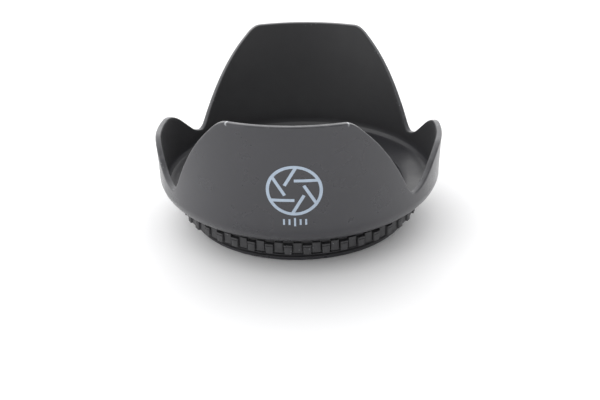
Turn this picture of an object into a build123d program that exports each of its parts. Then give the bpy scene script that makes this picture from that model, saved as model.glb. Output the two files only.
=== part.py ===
from build123d import *
import os
from math import cos, radians, sin

# Screw-in petal lens hood for a 58 mm filter thread, standing on the end of its threaded neck.
# Millimetres. The origin is on the optical axis at the neck's end face and +Z points out of the
# hood. The long petals stand at +Y and -Y, the short petals at +X and -X.

# Filter thread M58 x 0.75, drawn as a plain cylinder of its major diameter
thread_r = 29.0
thread_pitch = 0.75
throat_r = 27.2
thread_lead_in = 0.5
groove_top_z = 3.3
groove_depth = 0.45

# Hood shell: a bowl over a flat underside, then a wall that flares towards the rim
underside_z = 8.2
underside_r = 33.4
bowl_mid = (35.45, 9.8)
bowl_top = (36.7, 12.5)
wall_mid = (37.45, 26.0)
wall_top = (39.68, 41.5)
wall_thickness = 1.5
ledge_z = 10.9
ledge_r = 35.05
ledge_drop = 0.75
floor_rise = 1.3
throat_lip = 0.6

# Rim: height of the shell's edge around the axis, in degrees from a long petal's middle
long_petal_z = 40.1
short_petal_z = 23.5
front_valley = {"low": 15.5, "blend": 3.6}
rear_valley = {"low": 14.4, "blend": 2.0}
long_side_at = (28.0, 36.85)
long_side_slope = 0.62
long_side_curve = 0.010
short_side_at = (65.0, 17.95)
short_side_slope = 0.54
long_corner_blend = 2.2
short_corner_blend = 4.0
rim_step_deg = 3

# Lock ring: a nut with two staggered rows of grip blocks, parked just under the hood
ring_bottom_z = 3.3
ring_top_z = 7.9
ring_core_r = 30.2
grip_pairs = 42
ring_rest_angle = 3.2
upper_block = {"outer_r": 31.0, "low": 3.5, "high": 6.25, "foot": 2.1, "head": 2.1}
lower_block = {"outer_r": 31.4, "low": 3.3, "high": 5.8, "foot": 1.7, "head": 2.0}
liner_wall = 0.5
running_gap = 0.06

# Printed mark on the front petal: an iris of six blades over a row of ticks
ink_thickness = 0.06
print_x = 1.8
iris_z = 23.5
iris_r = 6.6
iris_line = 0.75
iris_blades = 6
iris_opening = 2.6
iris_reach = 7.0
tick_z = 15.1
tick_count = 5
tick_pitch = 1.3
tick_width = 0.45
short_tick = 1.5
tall_tick = 2.2


def smooth_min(a, b, blend):
    """The lower of two heights, with the corner between them rounded off."""
    overlap = max(blend - abs(a - b), 0)
    return min(a, b) - overlap**2 / (4 * blend)


def smooth_max(a, b, blend):
    """The higher of two heights, with the corner between them rounded off."""
    return -smooth_min(-a, -b, blend)


def rim_height(angle):
    """Height of the rim at an angle in degrees from the +X axis."""
    from_long = abs((angle % 180) - 90)
    past = from_long - long_side_at[0]
    long_side = long_side_at[1] - long_side_slope * past - long_side_curve * past * abs(past)
    short_side = short_side_at[1] + short_side_slope * (from_long - short_side_at[0])
    long_petal = smooth_min(long_petal_z, long_side, long_corner_blend)
    short_petal = smooth_min(short_petal_z, short_side, short_corner_blend)
    valley = rear_valley if angle % 360 < 180 else front_valley
    return smooth_max(max(long_petal, short_petal), valley["low"], valley["blend"])


def polar(radius, angle, z):
    return (radius * cos(radians(angle)), radius * sin(radians(angle)), z)


def outer_wall():
    """The shell's outer line from its underside to above the long petals, in the XZ plane."""
    bowl = ThreePointArc((underside_r, underside_z), bowl_mid, bowl_top)
    wall = ThreePointArc(bowl_top, wall_mid, wall_top)
    return bowl, wall


def rim_edge(radius, start):
    """A quarter of the rim line at one radius, level at both ends, in the middle of a petal."""
    angles = range(start, start + 91, rim_step_deg)
    points = [polar(radius, angle, rim_height(angle)) for angle in angles]
    ends = [polar(1, start + 90, 0), polar(1, start + 180, 0)]
    return Spline(*points, tangents=ends)


def rim_cutters():
    """All the space above the rim, in quarters: a ruled surface over each, raised upwards."""
    cutters = []
    for start in (0, 90, 180, 270):
        inner, outer = (rim_edge(radius, start) for radius in (throat_r, wall_top[0] + 8))
        surface = Face.make_surface_from_curves(inner, outer)
        cutters.append(Solid.extrude(surface, Vector(0, 0, 2 * long_petal_z)))
    return cutters


def hood_shell():
    """Petals, bowl and floor."""
    bowl, wall = outer_wall()
    inner_top = (wall_top[0] - wall_thickness, wall_top[1])
    inner_mid = (wall_mid[0] - wall_thickness, wall_mid[1])
    ledge_foot = (ledge_r - ledge_drop, ledge_z - ledge_drop)
    floor_edge_z = underside_z + floor_rise
    section = [
        Line((throat_r, underside_z), (underside_r, underside_z)),
        bowl,
        wall,
        Line(wall_top, inner_top),
        ThreePointArc(inner_top, inner_mid, (ledge_r, ledge_z)),
        Line((ledge_r, ledge_z), ledge_foot),
        Line(ledge_foot, (throat_r + throat_lip, floor_edge_z)),
        Line((throat_r + throat_lip, floor_edge_z), (throat_r, floor_edge_z - throat_lip)),
        Line((throat_r, floor_edge_z - throat_lip), (throat_r, underside_z)),
    ]
    return revolve(Plane.XZ * make_face(Wire(section)), Axis.Z) - rim_cutters()


def hood_neck():
    """The threaded neck below the shell, moulded in one with it."""
    section = Polyline(
        (throat_r, 0),
        (thread_r - thread_lead_in, 0),
        (thread_r, thread_lead_in),
        (thread_r, groove_top_z - thread_pitch),
        (thread_r - groove_depth, groove_top_z - thread_pitch / 2),
        (thread_r, groove_top_z),
        (thread_r, underside_z),
        (throat_r, underside_z),
        close=True,
    )
    return revolve(Plane.XZ * make_face(section), Axis.Z)


def grip_block(block):
    """One grip block on the +X side, standing out of the ring's core."""
    outline = Plane.YZ * Polygon(
        (-block["foot"] / 2, block["low"]),
        (block["foot"] / 2, block["low"]),
        (block["head"] / 2, block["high"]),
        (-block["head"] / 2, block["high"]),
        align=None,
    )
    root_r = ring_core_r - 0.5
    return Pos(root_r, 0, 0) * extrude(outline, block["outer_r"] - root_r, dir=(1, 0, 0))


def ring_blank(inner_r, outer_r, low, high):
    height = high - low
    blank = Cylinder(outer_r, height) - Cylinder(inner_r, height)
    return Pos(0, 0, (low + high) / 2) * blank


def lock_ring():
    """The nut's body with its grip blocks."""
    bore_r = thread_r + liner_wall + 2 * running_gap
    ring = ring_blank(bore_r, ring_core_r, ring_bottom_z, ring_top_z)
    pitch = 360 / grip_pairs
    uppers = [Rot(0, 0, (i + 0.5) * pitch) * grip_block(upper_block) for i in range(grip_pairs)]
    lowers = [Rot(0, 0, i * pitch) * grip_block(lower_block) for i in range(grip_pairs)]
    return Rot(0, 0, ring_rest_angle) * ring.fuse(*uppers, *lowers)


def lock_ring_thread():
    """The nut's threaded bore, as a thin sleeve that travels along the neck."""
    inner_r = thread_r + running_gap
    return ring_blank(inner_r, inner_r + liner_wall, ring_bottom_z, ring_top_z)


def ink_layer():
    """A thin skin that lies on the shell's outer wall."""
    _, wall = outer_wall()
    end_outer = (wall_top[0] + ink_thickness, wall_top[1])
    mid_outer = (wall_mid[0] + ink_thickness, wall_mid[1])
    start_outer = (bowl_top[0] + ink_thickness, bowl_top[1])
    skin = Wire([
        wall,
        Line(wall_top, end_outer),
        ThreePointArc(end_outer, mid_outer, start_outer),
        Line(start_outer, bowl_top),
    ])
    return revolve(Plane.XZ * make_face(skin), Axis.Z)


def printed(artwork):
    """Ink in the shape of a flat drawing, laid on the front petal."""
    front = Plane((0, 0, 0), x_dir=(1, 0, 0), z_dir=(0, -1, 0))
    return ink_layer() & extrude(front * artwork, wall_top[0] + 5)


def print_iris():
    """A ring round six straight blade edges that leave a six-sided opening."""
    turn = 360 / iris_blades
    blade = Pos(iris_reach / 2, iris_opening) * Rectangle(iris_reach, iris_line)
    blades = [Rot(0, 0, i * turn) * blade for i in range(iris_blades)]
    disc = Circle(iris_r)
    drawing = (disc - Circle(iris_r - iris_line)) + [disc & blade for blade in blades]
    return printed(Pos(print_x, iris_z) * drawing)


def print_ticks():
    """A row of upright ticks, the middle one taller."""
    middle = (tick_count - 1) // 2
    heights = [tall_tick if i == middle else short_tick for i in range(tick_count)]
    ticks = [
        Pos(print_x + (i - middle) * tick_pitch, tick_z) * Rectangle(tick_width, height)
        for i, height in enumerate(heights)
    ]
    return printed(Sketch() + ticks)


if __name__ == "__main__":
    os.makedirs("parts", exist_ok=True)
    for node in (hood_shell, hood_neck, lock_ring, lock_ring_thread, print_iris, print_ticks):
        export_step(node(), f"parts/{node.__name__}.step")
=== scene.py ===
"""A screw-in petal lens hood for a 58 mm filter thread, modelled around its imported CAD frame."""

import math

import bpy
from bpy.props import FloatProperty, FloatVectorProperty, IntProperty, PointerProperty
from mathutils import Matrix, Vector


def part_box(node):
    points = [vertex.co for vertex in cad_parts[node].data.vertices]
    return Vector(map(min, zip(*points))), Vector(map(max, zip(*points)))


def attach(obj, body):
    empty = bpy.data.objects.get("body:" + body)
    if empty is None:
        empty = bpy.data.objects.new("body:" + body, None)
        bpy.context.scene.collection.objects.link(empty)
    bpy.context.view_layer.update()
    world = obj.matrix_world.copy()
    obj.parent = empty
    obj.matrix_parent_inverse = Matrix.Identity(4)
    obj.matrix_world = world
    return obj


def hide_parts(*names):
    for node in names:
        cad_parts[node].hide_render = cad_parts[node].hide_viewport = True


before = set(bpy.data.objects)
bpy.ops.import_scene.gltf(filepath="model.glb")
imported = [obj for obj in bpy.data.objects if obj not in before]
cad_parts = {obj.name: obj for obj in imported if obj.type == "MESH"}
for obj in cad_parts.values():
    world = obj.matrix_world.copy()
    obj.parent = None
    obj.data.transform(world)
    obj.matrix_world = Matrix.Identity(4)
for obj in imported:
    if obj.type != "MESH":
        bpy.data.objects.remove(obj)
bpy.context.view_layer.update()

bl_info = {
    "name": "Petal Lens Hood",
    "version": (1, 0, 0),
    "blender": (4, 5, 0),
    "location": "View3D > Sidebar > Lens Hood",
    "description": "Builds a screw-in petal lens hood with its lock ring, printed mark and studio",
    "category": "Add Mesh",
}

MM = 0.001

# The wall's curves, each through three points of (radius, height) in millimetres.
BOWL = ((33.4, 8.2), (35.45, 9.8), (36.7, 12.5))
OUTER_WALL = (BOWL[-1], (37.45, 26.0), (39.68, 41.5))
INNER_WALL = ((35.05, 10.9), (35.95, 26.0), (38.18, 41.5))

# The rim's outline, in millimetres and in degrees from the middle of a long petal.
LONG_TOP = {"height": 40.1, "round": 2.2}
LONG_FLANK = {"angle": 28.0, "height": 36.85, "slope": -0.62, "bow": -0.010}
SHORT_TOP = {"height": 23.5, "round": 4.0}
SHORT_FLANK = {"angle": 65.0, "height": 17.95, "slope": 0.54}
FRONT_VALLEY = {"height": 15.5, "round": 3.6}
REAR_VALLEY = {"height": 14.4, "round": 2.0}

# The rim's wear: how far its rubbed edge reaches, and (degrees, half width in mm) of each nick.
EDGE_BAND = 0.9 * MM
NICK_DEPTH = 0.45 * MM
NICKS = ((-110.0, 0.12), (-68.5, 0.16))

# Painted shade: the near-black tone mixed into the hood's inside where shade falls, and the share of
# that painted shade that the ledge and floor take.
INSIDE_PAINTED_SHADE = (0.008, 0.008, 0.0095)
LEDGE_SHADE = 0.45

# Dust specks, the pale plastic that shows in nicks and chips, and painted glints along the rubbed
# edges.
DUST_AND_GLINT_TONE = (0.42, 0.43, 0.45)


# ---------------------------------------------------------------- settings


def length(name, description, millimetres):
    """A length that a user may change, stored in metres."""
    return FloatProperty(
        name=name, description=description, default=millimetres * MM, unit="LENGTH", precision=5
    )


def colour(name, description, value):
    return FloatVectorProperty(
        name=name, description=description, default=value, subtype="COLOR", size=3, min=0, max=1
    )


class ShellSettings(bpy.types.PropertyGroup):
    """Sizes of the hood's shell and of the neck moulded with it."""

    columns: IntProperty(name="Columns", description="Faces around the shell", default=720)
    throat_radius: length("Throat radius", "Bore of the neck", 27.2)
    root_radius: length("Thread root radius", "Neck under its thread", 28.54)
    underside_height: length("Underside height", "Flat face above the lock ring", BOWL[0][1])
    underside_radius: length(
        "Underside radius", "Where the flat underside meets the bowl", BOWL[0][0]
    )
    wall_thickness: length("Wall thickness", "Thickness of the petals at the rim", 1.5)
    wall_foot: length("Wall foot height", "Where the bowl turns into the wall", OUTER_WALL[0][1])
    ledge_height: length("Ledge height", "Top of the step inside the bowl", INNER_WALL[0][1])
    ledge_drop: length("Ledge drop", "Width and depth of the step inside the bowl", 0.75)
    floor_rise: length("Floor rise", "Floor's inner edge above the underside", 1.3)
    rim_round: length("Rim rounding", "Radius of the rim's two edges", 0.38)


class ThreadSettings(bpy.types.PropertyGroup):
    """Sizes of the neck's filter thread."""

    major_radius: length("Major radius", "Crest of the thread", 29.0)
    pitch: length("Pitch", "Rise of one turn", 0.75)
    start_height: length("Start height", "Middle of the ridge where it begins", 0.62)
    turns: IntProperty(name="Turns", description="Whole turns of the ridge", default=9)


class RingSettings(bpy.types.PropertyGroup):
    """Sizes of the lock ring and its grip blocks."""

    core_radius: length("Core radius", "Ring without its grip blocks", 30.2)
    pairs: IntProperty(name="Pairs", description="Pairs of grip blocks", default=42)
    rest_angle: FloatProperty(
        name="Rest angle", description="Where the first lower block stands at rest",
        default=math.radians(3.2), unit="ROTATION",
    )
    gap_angle: FloatProperty(
        name="Gap", description="Gap between two blocks", default=math.radians(0.5),
        unit="ROTATION",
    )
    upper_radius: length("Upper block radius", "Outer face of the upper blocks", 31.0)
    upper_low: length("Upper block bottom", "Height of the upper blocks' lower edge", 3.5)
    upper_high: length("Upper block top", "Height of the upper blocks' upper edge", 6.25)
    lower_radius: length("Lower block radius", "Outer face of the lower blocks", 31.4)
    lower_low: length("Lower block bottom", "Height of the lower blocks' lower edge", 3.36)
    lower_high: length("Lower block top", "Height of the lower blocks' upper edge", 5.8)
    lower_taper: FloatProperty(
        name="Taper", description="Width of a lower block's foot over its head", default=0.80
    )
    edge_round: length("Edge rounding", "Width of the rounding on every edge", 0.11)
    groove_drop: length("Groove drop", "Fine groove below the lower blocks' upper edge", 0.55)
    groove_depth: length("Groove depth", "Depth of the fine groove", 0.14)


class FinishSettings(bpy.types.PropertyGroup):
    """Colours of the plastic and the ink."""

    shell: colour("Shell", "Matte charcoal plastic of the hood", (0.022, 0.022, 0.0275))
    ring: colour("Ring", "Matte black plastic of the lock ring", (0.028, 0.028, 0.0305))
    ink: colour("Ink", "Pale blue-grey print", (0.40, 0.48, 0.58))
    floor: colour("Floor", "White paper", (0.9, 0.9, 0.905))


class StudioSettings(bpy.types.PropertyGroup):
    """Camera and the room's glow on each side."""

    lens: FloatProperty(name="Lens", description="Focal length in mm", default=65.4)
    distance: length("Distance", "From the hood's axis to the camera, along the floor", 263.1)
    height: length("Height", "Camera above the floor", 133.5)
    side: FloatProperty(
        name="Side", description="Camera's turn around the hood", default=math.radians(4.78),
        unit="ROTATION",
    )
    tilt: FloatProperty(
        name="Tilt", description="How far the camera looks down", default=math.radians(26.46),
        unit="ROTATION",
    )
    roll: FloatProperty(
        name="Roll", description="Camera's roll", default=math.radians(-1.25), unit="ROTATION"
    )
    room_left: FloatProperty(name="Left", description="Glow of the room's left side", default=1.6)
    room_right: FloatProperty(name="Right", description="Glow of its right side", default=0.45)
    room_front: FloatProperty(name="Front", description="Glow of its front", default=0.32)
    room_back: FloatProperty(name="Back", description="Glow of its back", default=2.55)
    room_top: FloatProperty(name="Top", description="Glow of its ceiling", default=0.85)


# ---------------------------------------------------------------- shape of the petals


def smooth_min(a, b, blend):
    """The lower of two heights, with the corner between them rounded off."""
    overlap = max(blend - abs(a - b), 0)
    return min(a, b) - overlap**2 / (4 * blend)


def smooth_max(a, b, blend):
    """The higher of two heights, with the corner between them rounded off."""
    return -smooth_min(-a, -b, blend)


def rim_height(angle):
    """Height of the rim in metres, at an angle in radians from the +X axis."""
    degrees = math.degrees(angle)
    from_long = abs((degrees % 180) - 90)
    past = from_long - LONG_FLANK["angle"]
    bow = LONG_FLANK["bow"] * past * abs(past)
    long_side = LONG_FLANK["height"] + LONG_FLANK["slope"] * past + bow
    short_side = SHORT_FLANK["height"] + SHORT_FLANK["slope"] * (from_long - SHORT_FLANK["angle"])
    long_petal = smooth_min(LONG_TOP["height"], long_side, LONG_TOP["round"])
    short_petal = smooth_min(SHORT_TOP["height"], short_side, SHORT_TOP["round"])
    valley = REAR_VALLEY if degrees % 360 < 180 else FRONT_VALLEY
    return smooth_max(max(long_petal, short_petal), valley["height"], valley["round"]) * MM


def arc_radius(height, low, middle, high):
    """Radius at a height on the flat arc through three (radius, height) points."""
    (x1, y1), (x2, y2), (x3, y3) = low, middle, high
    double_area = 2 * (x1 * (y2 - y3) + x2 * (y3 - y1) + x3 * (y1 - y2))
    s1, s2, s3 = x1 * x1 + y1 * y1, x2 * x2 + y2 * y2, x3 * x3 + y3 * y3
    cx = (s1 * (y2 - y3) + s2 * (y3 - y1) + s3 * (y1 - y2)) / double_area
    cy = (s1 * (x3 - x2) + s2 * (x1 - x3) + s3 * (x2 - x1)) / double_area
    bend = math.hypot(x1 - cx, y1 - cy)
    side = math.copysign(1, x2 - cx)
    return cx + side * math.sqrt(bend * bend - (height - cy) ** 2)


def outer_radius(height):
    """The wall's outer radius at a height, in metres."""
    return arc_radius(height / MM, *OUTER_WALL) * MM


def inner_radius(height):
    """The wall's inner radius at a height, in metres."""
    return arc_radius(height / MM, *INNER_WALL) * MM


# ---------------------------------------------------------------- modelling by hand, in code


def deselect_all():
    if bpy.context.object and bpy.context.object.mode != "OBJECT":
        bpy.ops.object.mode_set(mode="OBJECT")
    bpy.ops.object.select_all(action="DESELECT")


def activate(obj):
    deselect_all()
    obj.select_set(True)
    bpy.context.view_layer.objects.active = obj


def lathe(name, section, angles):
    """A turned ring: a circle drawn out loop by loop through a closed (radius, height) section."""
    deselect_all()
    radius, height = section[0]
    bpy.ops.mesh.primitive_circle_add(vertices=len(angles), radius=radius)
    obj = bpy.context.object
    obj.name = obj.data.name = name
    for vertex, angle in zip(obj.data.vertices, angles):
        vertex.co = (radius * math.cos(angle), radius * math.sin(angle), height)
    bpy.ops.object.mode_set(mode="EDIT")
    bpy.ops.mesh.select_all(action="SELECT")
    for (r0, z0), (r1, z1) in zip(section, section[1:]):
        bpy.ops.mesh.extrude_region_move(TRANSFORM_OT_translate={"value": (0, 0, z1 - z0)})
        bpy.ops.transform.resize(value=(r1 / r0, r1 / r0, 1), center_override=(0, 0, z1))
    last_radius, last_height = section[-1]
    bpy.ops.mesh.extrude_region_move(
        TRANSFORM_OT_translate={"value": (0, 0, height - last_height)}
    )
    ratio = radius / last_radius
    bpy.ops.transform.resize(value=(ratio, ratio, 1), center_override=(0, 0, height))
    bpy.ops.mesh.select_all(action="SELECT")
    bpy.ops.mesh.remove_doubles(threshold=0.001 * MM)
    bpy.ops.mesh.normals_make_consistent(inside=False)
    bpy.ops.object.mode_set(mode="OBJECT")
    return obj


def even_angles(count):
    return [2 * math.pi * i / count for i in range(count)]


def apply_bevel(obj, width, segments, limit):
    activate(obj)
    bevel = obj.modifiers.new("Edge rounding", "BEVEL")
    bevel.width = width
    bevel.segments = segments
    bevel.limit_method = "ANGLE"
    bevel.angle_limit = limit
    bevel.use_clamp_overlap = True
    bpy.ops.object.modifier_apply(modifier=bevel.name)


def shade(obj, limit=math.radians(38)):
    activate(obj)
    bpy.ops.object.shade_smooth_by_angle(angle=limit)


def quarter_round(corner, start, end, steps=4):
    """Points of a fillet from start to end, round a square corner, as (x, y) pairs."""
    points = []
    for i in range(steps + 1):
        t = math.pi / 2 * i / steps
        points.append(tuple(
            c + (s - c) * (1 - math.sin(t)) + (e - c) * (1 - math.cos(t))
            for c, s, e in zip(corner, start, end)
        ))
    return points


# ---------------------------------------------------------------- materials


def math_node(tree, operation, a, b):
    """The result of a Math node, whose two inputs are sockets or plain numbers."""
    node = tree.nodes.new("ShaderNodeMath")
    node.operation = operation
    for socket, value in zip(node.inputs, (a, b)):
        if isinstance(value, (int, float)):
            socket.default_value = value
        else:
            tree.links.new(value, socket)
    return node.outputs["Value"]


class Recipe:
    """A short way to write a material's nodes. A mesh without an attribute reads it as 0."""

    def __init__(self, name):
        self.material = bpy.data.materials.new(name)
        self.material.use_nodes = True
        self.tree = self.material.node_tree
        self.shader = self.tree.nodes["Principled BSDF"]
        self.place = self.add("ShaderNodeTexCoord").outputs["Object"]

    def add(self, kind, **settings):
        node = self.tree.nodes.new(kind)
        for key, value in settings.items():
            setattr(node, key, value)
        return node

    def join(self, source, socket):
        self.tree.links.new(source, socket)

    def noise(self, scale, detail=3.0, roughness=0.5):
        node = self.add("ShaderNodeTexNoise")
        node.inputs["Scale"].default_value = scale
        node.inputs["Detail"].default_value = detail
        node.inputs["Roughness"].default_value = roughness
        self.join(self.place, node.inputs["Vector"])
        return node.outputs["Fac"]

    def cells(self, scale):
        node = self.add("ShaderNodeTexVoronoi")
        node.inputs["Scale"].default_value = scale
        self.join(self.place, node.inputs["Vector"])
        return node.outputs["Distance"]

    def attribute(self, name):
        return self.add("ShaderNodeAttribute", attribute_name=name).outputs["Fac"]

    def spread(self, value, low, high, to_low=0.0, to_high=1.0):
        node = self.add("ShaderNodeMapRange", clamp=True)
        for key, number in zip(("From Min", "From Max", "To Min", "To Max"),
                               (low, high, to_low, to_high)):
            node.inputs[key].default_value = number
        self.join(value, node.inputs["Value"])
        return node.outputs["Result"]

    def math(self, operation, a, b):
        return math_node(self.tree, operation, a, b)

    def mix(self, factor, a, b):
        node = self.add("ShaderNodeMix", data_type="RGBA")
        for socket, value in zip((node.inputs[0], node.inputs[6], node.inputs[7]), (factor, a, b)):
            if hasattr(value, "links"):
                self.join(value, socket)
            elif isinstance(value, (int, float)):
                socket.default_value = value
            else:
                socket.default_value = (*value, 1)
        return node.outputs[2]

    def bump(self, height, strength, distance, normal=None):
        node = self.add("ShaderNodeBump")
        node.inputs["Strength"].default_value = strength
        node.inputs["Distance"].default_value = distance
        self.join(height, node.inputs["Height"])
        if normal:
            self.join(normal, node.inputs["Normal"])
        return node.outputs["Normal"]

    def finish(self, base, roughness, normal):
        self.join(base, self.shader.inputs["Base Color"])
        self.join(roughness, self.shader.inputs["Roughness"])
        self.join(normal, self.shader.inputs["Normal"])
        return self.material


def scaled(value, factor):
    return tuple(min(channel * factor, 1) for channel in value)


def moulded_plastic(name, tone, wear_tone, gloss):
    """Matte moulded plastic: spark-eroded grain, slow cloudiness, dust, rubbed edges with pale specks
    that are partly chips and partly painted glints, and painted shade on the hood's inside.
    """
    recipe = Recipe(name)
    clouds = recipe.spread(recipe.noise(55, 4), 0.3, 0.7)
    mottle = recipe.noise(900, 3)
    tone_field = recipe.mix(clouds, scaled(tone, 0.93), scaled(tone, 1.07))
    light = recipe.spread(mottle, 0.35, 0.65, 0, 0.25)
    tone_field = recipe.mix(light, tone_field, scaled(tone, 1.2))
    rub = recipe.spread(recipe.noise(420, 5, 0.65), 0.42, 0.68)
    wear = recipe.math("MULTIPLY", recipe.attribute("edge"), rub)
    worn = recipe.mix(recipe.math("MULTIPLY", wear, 0.14), tone_field, wear_tone)
    specks = recipe.spread(recipe.cells(620), 0.055, 0.02)
    sparse = recipe.spread(recipe.noise(75, 2), 0.68, 0.76)
    dust = recipe.math("MULTIPLY", specks, sparse)
    # Pale specks along the rubbed edges: partly real chips, partly painted glints of the rough rim
    # edge.
    chips_and_glints = recipe.spread(recipe.cells(1300), 0.16, 0.08)
    chips_and_glints = recipe.math("MULTIPLY", chips_and_glints, recipe.spread(recipe.noise(120, 2), 0.54, 0.62))
    chips_and_glints = recipe.math("MULTIPLY", chips_and_glints, recipe.attribute("edge"))
    nicks_chips_and_glints = recipe.math("MAXIMUM", recipe.attribute("nick"), chips_and_glints)
    pale = recipe.math("MAXIMUM", recipe.math("MULTIPLY", dust, 0.15), nicks_chips_and_glints)
    inner = recipe.attribute("inner")
    # Painted shade: surfaces marked as the hood's inside are darkened towards a near-black tone.
    with_inside_shade = recipe.mix(recipe.math("MULTIPLY", inner, 0.85), worn, INSIDE_PAINTED_SHADE)
    base = recipe.mix(pale, with_inside_shade, DUST_AND_GLINT_TONE)
    rough = recipe.spread(recipe.noise(160, 3), 0.3, 0.7, gloss - 0.04, gloss + 0.05)
    rough = recipe.math("ADD", rough, recipe.math("MULTIPLY", inner, 0.28))
    rough = recipe.math("ADD", rough, recipe.math("MULTIPLY", recipe.attribute("edge"), 0.16))
    grain = recipe.bump(recipe.noise(7000, 2), 0.22, 0.02 * MM)
    normal = recipe.bump(recipe.noise(210, 2), 0.04, 0.03 * MM, grain)
    recipe.shader.inputs["Specular IOR Level"].default_value = 0.72
    return recipe.finish(base, rough, normal)


def printed_ink(name, tone):
    """Pad-printed ink: thin, a little uneven, with pinholes over the plastic's grain."""
    recipe = Recipe(name)
    uneven = recipe.spread(recipe.noise(700, 4, 0.6), 0.3, 0.7)
    base = recipe.mix(uneven, scaled(tone, 0.93), scaled(tone, 1.06))
    pinholes = recipe.spread(recipe.cells(1900), 0.11, 0.05)
    holes = recipe.math("MULTIPLY", pinholes, recipe.spread(recipe.noise(300), 0.52, 0.62))
    base = recipe.mix(recipe.math("MULTIPLY", holes, 0.6), base, scaled(tone, 0.3))
    rough = recipe.spread(recipe.noise(500), 0.3, 0.7, 0.42, 0.55)
    return recipe.finish(base, rough, recipe.bump(recipe.noise(7000, 2), 0.2, 0.02 * MM))


def seamless_paper(name, tone):
    recipe = Recipe(name)
    base = recipe.mix(recipe.noise(40, 3), scaled(tone, 0.995), scaled(tone, 1.005))
    rough = recipe.spread(recipe.noise(900), 0, 1, 0.85, 0.95)
    return recipe.finish(base, rough, recipe.bump(recipe.noise(3000), 0.05, 0.02 * MM))


def finish_piece(obj, material, body, nodes):
    """Gives a piece its material, ties it to its body, and hides the CAD nodes it stands for."""
    obj.data.materials.clear()
    obj.data.materials.append(material)
    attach(obj, body)
    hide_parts(*nodes)


# ---------------------------------------------------------------- hood shell


RIM_ZONE = 1.3 * MM
BLANK_TOP = LONG_TOP["height"] * MM


def rim_point(angle, depth):
    """Angle and height of the point a depth below the rim, square to the rim's line."""
    height = rim_height(angle)
    step = math.radians(0.1)
    along = 2 * step * outer_radius(height)
    slope = math.atan2(rim_height(angle + step) - rim_height(angle - step), along)
    shift = depth * math.sin(slope) / outer_radius(height)
    return angle + shift, height - depth * math.cos(slope)


def shape_petals(obj, foot, blank_radius, thickness):
    """Bends a straight-walled blank so that its top edge follows the rim of the petals."""
    for vertex in obj.data.vertices:
        x, y, z = vertex.co
        if z < foot - 0.01 * MM:
            continue
        angle = math.atan2(y, x)
        inset = (blank_radius - math.hypot(x, y)) / thickness
        depth = BLANK_TOP - z
        if depth > RIM_ZONE:
            share = (z - foot) / (BLANK_TOP - RIM_ZONE - foot)
            edge_angle, edge_height = rim_point(angle, RIM_ZONE)
            height = foot + share * (edge_height - foot)
            angle += share**3 * (edge_angle - angle)
        else:
            angle, height = rim_point(angle, depth)
        radius = outer_radius(height) + inset * (inner_radius(height) - outer_radius(height))
        vertex.co = (radius * math.cos(angle), radius * math.sin(angle), height)


def shell_section(s, blank_radius):
    """The shell's section as (radius, height), with its wall still straight and full height."""
    inner_blank = blank_radius - s.wall_thickness
    foot, top, rim = s.wall_foot, BLANK_TOP, s.rim_round
    chamfer = 0.3 * MM
    neck = [
        (s.throat_radius, chamfer),
        (s.throat_radius + chamfer, 0),
        (s.root_radius - chamfer, 0),
        (s.root_radius, chamfer),
        (s.root_radius, s.underside_height),
    ]
    corner = 0.18 * MM
    bowl = [(s.underside_radius - 2 * corner, s.underside_height),
            (s.underside_radius - 0.3 * corner, s.underside_height + 0.2 * corner)]
    steps = 14
    for i in range(1, steps):
        climb = (foot - s.underside_height - corner) * (i / steps)**1.4
        height = s.underside_height + corner + climb
        bowl.append((arc_radius(height / MM, *BOWL) * MM, height))
    rows = 16
    wall_top = top - RIM_ZONE
    outer = [(blank_radius, foot + (wall_top - foot) * i / rows) for i in range(rows + 1)]
    outer.append((blank_radius, (wall_top + top - rim) / 2))
    rounding = quarter_round(
        (blank_radius, top), (blank_radius, top - rim), (blank_radius - rim, top)
    )
    inner_rounding = quarter_round(
        (inner_blank, top), (inner_blank + rim, top), (inner_blank, top - rim)
    )
    inner = [(inner_blank, z) for _, z in reversed(outer)]
    ledge_radius = inner_radius(s.ledge_height)
    ledge = [
        (ledge_radius, s.ledge_height + 0.06 * MM),
        (ledge_radius - 0.08 * MM, s.ledge_height - 0.05 * MM),
        (ledge_radius - s.ledge_drop + 0.06 * MM, s.ledge_height - s.ledge_drop + 0.03 * MM),
        (ledge_radius - s.ledge_drop - 0.08 * MM, s.ledge_height - s.ledge_drop - 0.06 * MM),
    ]
    floor_edge = (s.throat_radius + 0.6 * MM, s.underside_height + s.floor_rise)
    floor_start = ledge[-1]
    floor = [
        tuple(a + (b - a) * i / 6 for a, b in zip(floor_start, floor_edge)) for i in range(1, 7)
    ]
    throat = [
        (s.throat_radius + 0.18 * MM, floor_edge[1] - 0.18 * MM),
        (s.throat_radius, floor_edge[1] - 0.6 * MM),
        (s.throat_radius, floor_edge[1] / 2),
    ]
    return neck + bowl + outer + rounding + inner_rounding + inner + ledge + floor + throat


def mark_rim(obj, s):
    """Attributes for the material: the rim's edges, two nicks, and the inner side, which is matte and
    takes painted shade.
    """
    edge = obj.data.attributes.new("edge", "FLOAT", "POINT")
    nick = obj.data.attributes.new("nick", "FLOAT", "POINT")
    inner = obj.data.attributes.new("inner", "FLOAT", "POINT")
    floor_low = s.underside_height + 1.0 * MM
    floor_reach = inner_radius(s.ledge_height) + 0.01 * MM
    for i, vertex in enumerate(obj.data.vertices):
        x, y, z = vertex.co
        angle = math.atan2(y, x)
        below = rim_height(angle) - z
        radius = math.hypot(x, y)
        # Painted shade: the wall's inner face takes the full dark inside tone, and the ledge and
        # floor take a share of it.
        if z > s.ledge_height + 0.1 * MM:
            inner.data[i].value = radius < outer_radius(z) - 0.9 * s.wall_thickness
        elif z > floor_low and radius < floor_reach:
            inner.data[i].value = LEDGE_SHADE
        if z < s.wall_foot or below > EDGE_BAND:
            continue
        edge.data[i].value = max(0, 1 - below / EDGE_BAND)
        for place, size in NICKS:
            away = abs(angle - math.radians(place)) * radius
            if away < size * MM and below < NICK_DEPTH:
                nick.data[i].value = max(nick.data[i].value, 1 - away / (size * MM))


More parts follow.
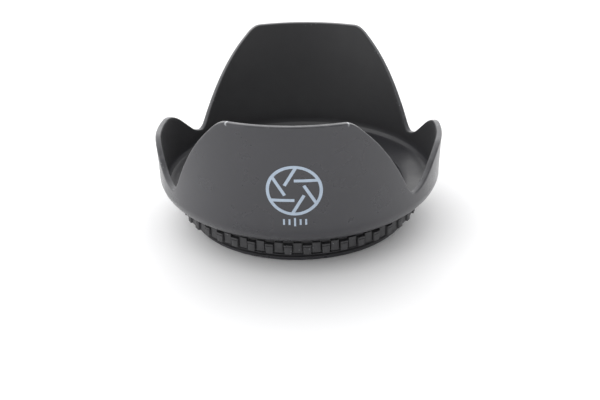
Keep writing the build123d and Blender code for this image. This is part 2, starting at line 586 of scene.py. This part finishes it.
class HOOD_OT_shell(bpy.types.Operator):
    """Model the hood's petals, bowl, floor and neck as one moulding"""

    bl_idname = "lens_hood.shell"
    bl_label = "Hood Shell"

    def execute(self, context):
        s = context.scene.hood_shell
        blank_radius = outer_radius(s.wall_foot)
        section = shell_section(s, blank_radius)
        obj = lathe("hood_moulding", section, even_angles(s.columns))
        shape_petals(obj, s.wall_foot, blank_radius, s.wall_thickness)
        mark_rim(obj, s)
        shade(obj)
        finishes = context.scene.hood_finish
        plastic = moulded_plastic("charcoal_plastic", finishes.shell, (0.20, 0.20, 0.21), 0.29)
        finish_piece(obj, plastic, "hood", ["hood_shell", "hood_neck"])
        return {"FINISHED"}


# ---------------------------------------------------------------- neck thread


class HOOD_OT_neck_thread(bpy.types.Operator):
    """Wind the filter thread's ridge round the neck"""

    bl_idname = "lens_hood.neck_thread"
    bl_label = "Neck Thread"

    def execute(self, context):
        t = context.scene.hood_thread
        root = context.scene.hood_shell.root_radius - 0.06 * MM
        flank = 0.36 * MM
        crest = 0.06 * MM
        deselect_all()
        bpy.ops.mesh.primitive_circle_add(vertices=4, radius=flank)
        obj = bpy.context.object
        obj.name = obj.data.name = "neck_thread_ridge"
        profile = [(root, -flank), (t.major_radius, -crest), (t.major_radius, crest), (root, flank)]
        for vertex, (radius, height) in zip(obj.data.vertices, profile):
            vertex.co = (radius, 0, height + t.start_height)
        screw = obj.modifiers.new("Thread", "SCREW")
        screw.axis = "Z"
        screw.angle = 2 * math.pi
        screw.screw_offset = t.pitch
        screw.iterations = t.turns
        screw.steps = screw.render_steps = 120
        bpy.ops.object.modifier_apply(modifier=screw.name)
        self.fade_ends(obj, t, root)
        bpy.ops.object.mode_set(mode="EDIT")
        bpy.ops.mesh.select_all(action="DESELECT")
        bpy.ops.mesh.select_non_manifold()
        bpy.ops.mesh.edge_face_add()
        bpy.ops.mesh.select_all(action="SELECT")
        bpy.ops.mesh.remove_doubles(threshold=0.001 * MM)
        bpy.ops.mesh.normals_make_consistent(inside=False)
        bpy.ops.object.mode_set(mode="OBJECT")
        shade(obj, math.radians(30))
        plastic = moulded_plastic("thread_plastic", context.scene.hood_finish.ring, (0.12,) * 3, 0.45)
        finish_piece(obj, plastic, "hood", ["hood_neck"])
        return {"FINISHED"}

    def fade_ends(self, obj, t, root):
        """Runs the ridge out into the neck over its first and last eighth of a turn."""
        last = t.turns * 2 * math.pi
        fade = math.radians(45)
        rise = t.pitch / (2 * math.pi)
        for vertex in obj.data.vertices:
            x, y, z = vertex.co
            around = math.atan2(y, x) % (2 * math.pi)
            wound = (z - t.start_height) / rise
            along = around + 2 * math.pi * round((wound - around) / (2 * math.pi))
            share = max(0, min(1, min(along, last - along) / fade))
            radius = math.hypot(x, y)
            kept = root + (radius - root) * share
            vertex.co = (x * kept / radius, y * kept / radius, z)


# ---------------------------------------------------------------- lock ring


class HOOD_OT_lock_ring(bpy.types.Operator):
    """Model the lock ring with its two staggered rows of grip blocks"""

    bl_idname = "lens_hood.lock_ring"
    bl_label = "Lock Ring"

    def execute(self, context):
        r = context.scene.hood_ring
        low, high = (corner.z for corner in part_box("lock_ring"))
        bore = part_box("lock_ring_thread")[1].x + 0.06 * MM
        pitch = 2 * math.pi / r.pairs
        block = pitch / 2 - r.gap_angle
        angles = []
        for i in range(r.pairs * 2):
            middle = i * pitch / 2
            angles += [middle - block / 2, middle, middle + block / 2]
        chamfer = 0.1 * MM
        groove = r.lower_high - r.groove_drop
        groove_half = 0.1 * MM
        heights = sorted({r.upper_low, r.upper_high, r.lower_low, r.lower_high,
                          groove - groove_half, groove, groove + groove_half})
        section = [(bore, low + chamfer), (bore + chamfer, low), (r.core_radius - chamfer, low),
                   (r.core_radius, low + 0.6 * chamfer)]
        section += [(r.core_radius, height) for height in heights]
        section += [(r.core_radius, high - chamfer), (r.core_radius - chamfer, high),
                    (bore + chamfer, high), (bore, high - chamfer)]
        obj = lathe("lock_ring_moulding", section, angles)
        rows = (
            (1, r.upper_low, r.upper_high, r.upper_radius),
            (0, r.lower_low, r.lower_high, r.lower_radius),
        )
        for parity, bottom, top, reach in rows:
            self.raise_blocks(obj, r, pitch, parity, bottom, top, reach)
        self.taper_lower_blocks(obj, r, pitch)
        apply_bevel(obj, r.edge_round, 2, math.radians(40))
        self.press_groove(obj, r, groove)
        self.mark_edges(obj, r)
        self.turn_to_rest(obj, r)
        shade(obj)
        finishes = context.scene.hood_finish
        plastic = moulded_plastic("ring_plastic", finishes.ring, (0.16, 0.16, 0.17), 0.5)
        finish_piece(obj, plastic, "ring", ["lock_ring"])
        return {"FINISHED"}

    def raise_blocks(self, obj, r, pitch, parity, bottom, top, reach):
        """Draws every second patch of the ring's side outwards, all at once."""
        activate(obj)
        bpy.ops.object.mode_set(mode="EDIT")
        bpy.ops.mesh.select_all(action="DESELECT")
        bpy.ops.object.mode_set(mode="OBJECT")
        half_block = pitch / 4 - r.gap_angle / 2
        for face in obj.data.polygons:
            centre = face.center
            if abs(math.hypot(centre.x, centre.y) - r.core_radius) > 0.05 * MM:
                continue
            if not bottom < centre.z < top:
                continue
            place = math.atan2(centre.y, centre.x) / (pitch / 2)
            nearest = round(place)
            inside = abs(place - nearest) * pitch / 2 < half_block
            face.select = inside and nearest % 2 == parity
        bpy.ops.object.mode_set(mode="EDIT")
        bpy.ops.mesh.extrude_region_move(TRANSFORM_OT_translate={"value": (0, 0, 0)})
        growth = reach / r.core_radius
        bpy.ops.transform.resize(value=(growth, growth, 1), center_override=(0, 0, 0))
        bpy.ops.object.mode_set(mode="OBJECT")

    def taper_lower_blocks(self, obj, r, pitch):
        """Narrows the foot of each lower block."""
        for vertex in obj.data.vertices:
            x, y, z = vertex.co
            radius = math.hypot(x, y)
            if radius < r.lower_radius - 0.1 * MM:
                continue
            share = (r.lower_high - z) / (r.lower_high - r.lower_low)
            angle = math.atan2(y, x)
            middle = round(angle / pitch) * pitch
            angle = middle + (angle - middle) * (1 - (1 - r.lower_taper) * share)
            vertex.co = (radius * math.cos(angle), radius * math.sin(angle), z)

    def press_groove(self, obj, r, height):
        """Presses a fine level groove into the face of each lower block."""
        for vertex in obj.data.vertices:
            x, y, z = vertex.co
            radius = math.hypot(x, y)
            if abs(z - height) < 0.01 * MM and radius > r.upper_radius + 0.1 * MM:
                kept = 1 - r.groove_depth / radius
                vertex.co = (x * kept, y * kept, z)

    def turn_to_rest(self, obj, r):
        """Turns the mesh, not the object, so that the blocks stand as they do at rest."""
        activate(obj)
        bpy.ops.object.mode_set(mode="EDIT")
        bpy.ops.mesh.select_all(action="SELECT")
        bpy.ops.transform.rotate(value=-r.rest_angle, orient_axis="Z", center_override=(0, 0, 0))
        bpy.ops.object.mode_set(mode="OBJECT")

    def mark_edges(self, obj, r):
        """Marks the outermost corners of the blocks, where fingers rub."""
        edge = obj.data.attributes.new("edge", "FLOAT", "POINT")
        for i, vertex in enumerate(obj.data.vertices):
            reach = math.hypot(vertex.co.x, vertex.co.y) - r.core_radius
            edge.data[i].value = 0.7 if reach > 0.6 * MM else 0.0


class HOOD_OT_ring_thread(bpy.types.Operator):
    """Model the lock ring's threaded bore"""

    bl_idname = "lens_hood.ring_thread"
    bl_label = "Ring Thread"

    def execute(self, context):
        lowest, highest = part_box("lock_ring_thread")
        outer = highest.x
        inner = context.scene.hood_thread.major_radius + 0.06 * MM
        lead = 0.12 * MM
        section = [(inner, lowest.z + lead), (inner + lead, lowest.z), (outer, lowest.z),
                   (outer, highest.z), (inner + lead, highest.z), (inner, highest.z - lead)]
        obj = lathe("lock_ring_bore", section, even_angles(270))
        shade(obj)
        plastic = moulded_plastic("bore_plastic", context.scene.hood_finish.ring, (0.12,) * 3, 0.5)
        finish_piece(obj, plastic, "ring_thread", ["lock_ring_thread"])
        return {"FINISHED"}


# ---------------------------------------------------------------- printed mark


class HOOD_OT_print(bpy.types.Operator):
    """Ink the printed mark on the front petal"""

    bl_idname = "lens_hood.print"
    bl_label = "Printed Mark"

    def execute(self, context):
        ink = printed_ink("pad_print_ink", context.scene.hood_finish.ink)
        for name in ("print_iris", "print_ticks"):
            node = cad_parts[name]
            node.data.materials.clear()
            node.data.materials.append(ink)
        return {"FINISHED"}


# ---------------------------------------------------------------- stage


class HOOD_OT_stage(bpy.types.Operator):
    """Set up the paper floor, the room's glow and the camera"""

    bl_idname = "lens_hood.stage"
    bl_label = "Studio"

    def execute(self, context):
        self.floor(context)
        self.room(context)
        self.camera(context)
        return {"FINISHED"}

    def floor(self, context):
        """A flat sheet of white paper under the hood, wide enough to fill the view."""
        deselect_all()
        bpy.ops.mesh.primitive_plane_add(size=6)
        sheet = bpy.context.object
        sheet.name = sheet.data.name = "seamless_floor"
        sheet.data.materials.append(
            seamless_paper("white_paper", context.scene.hood_finish.floor)
        )

    def room(self, context):
        """A white room that glows by direction, so that its light is soft from every side."""
        studio = context.scene.hood_studio
        world = bpy.data.worlds.new("studio_room")
        context.scene.world = world
        world.use_nodes = True
        tree = world.node_tree
        background = tree.nodes["Background"]
        background.inputs["Color"].default_value = (1, 1, 1, 1)
        direction = tree.nodes.new("ShaderNodeTexCoord")
        split = tree.nodes.new("ShaderNodeSeparateXYZ")
        tree.links.new(direction.outputs["Generated"], split.inputs["Vector"])
        glow = None
        for axis, sign, power, strength in (
            ("X", -1, 1, studio.room_left), ("X", 1, 1, studio.room_right),
            ("Y", -1, 1, studio.room_front), ("Y", 1, 1, studio.room_back),
            ("Z", 1, 2, studio.room_top),
        ):
            facing = split.outputs[axis]
            for operation, number in (("MULTIPLY", sign), ("MAXIMUM", 0), ("POWER", power),
                                      ("MULTIPLY", strength)):
                facing = math_node(tree, operation, facing, number)
            glow = facing if glow is None else math_node(tree, "ADD", glow, facing)
        tree.links.new(glow, background.inputs["Strength"])
        context.scene.view_settings.view_transform = "Standard"

    def camera(self, context):
        studio = context.scene.hood_studio
        data = bpy.data.cameras.new("studio_camera")
        data.lens = studio.lens
        data.clip_start = 0.01
        camera = bpy.data.objects.new("studio_camera", data)
        context.scene.collection.objects.link(camera)
        turn = Matrix.Rotation(studio.side, 4, "Z")
        place = Matrix.Translation((0, -studio.distance, studio.height))
        look = Matrix.Rotation(math.pi / 2 - studio.tilt, 4, "X")
        roll = Matrix.Rotation(studio.roll, 4, "Z")
        camera.matrix_world = turn @ place @ look @ roll
        context.scene.camera = camera


# ---------------------------------------------------------------- panel and registration


STEPS = (
    HOOD_OT_stage,
    HOOD_OT_shell,
    HOOD_OT_neck_thread,
    HOOD_OT_lock_ring,
    HOOD_OT_ring_thread,
    HOOD_OT_print,
)


class HOOD_PT_panel(bpy.types.Panel):
    """Every piece of the lens hood, and its sizes"""

    bl_label = "Lens Hood"
    bl_idname = "HOOD_PT_panel"
    bl_space_type = "VIEW_3D"
    bl_region_type = "UI"
    bl_category = "Lens Hood"

    def draw(self, context):
        for step in STEPS:
            self.layout.operator(step.bl_idname)
        for name in SETTINGS:
            group = getattr(context.scene, name)
            box = self.layout.box()
            for key in group.__annotations__:
                box.prop(group, key)


SETTINGS = {
    "hood_shell": ShellSettings,
    "hood_thread": ThreadSettings,
    "hood_ring": RingSettings,
    "hood_finish": FinishSettings,
    "hood_studio": StudioSettings,
}


def register():
    for cls in (*SETTINGS.values(), *STEPS, HOOD_PT_panel):
        bpy.utils.register_class(cls)
    for name, cls in SETTINGS.items():
        setattr(bpy.types.Scene, name, PointerProperty(type=cls))


def unregister():
    for name in SETTINGS:
        delattr(bpy.types.Scene, name)
    for cls in (HOOD_PT_panel, *reversed(STEPS), *reversed(SETTINGS.values())):
        bpy.utils.unregister_class(cls)


def main():
    register()
    for step in STEPS:
        group, name = step.bl_idname.split(".")
        getattr(getattr(bpy.ops, group), name)()


if __name__ == "__main__":
    main()
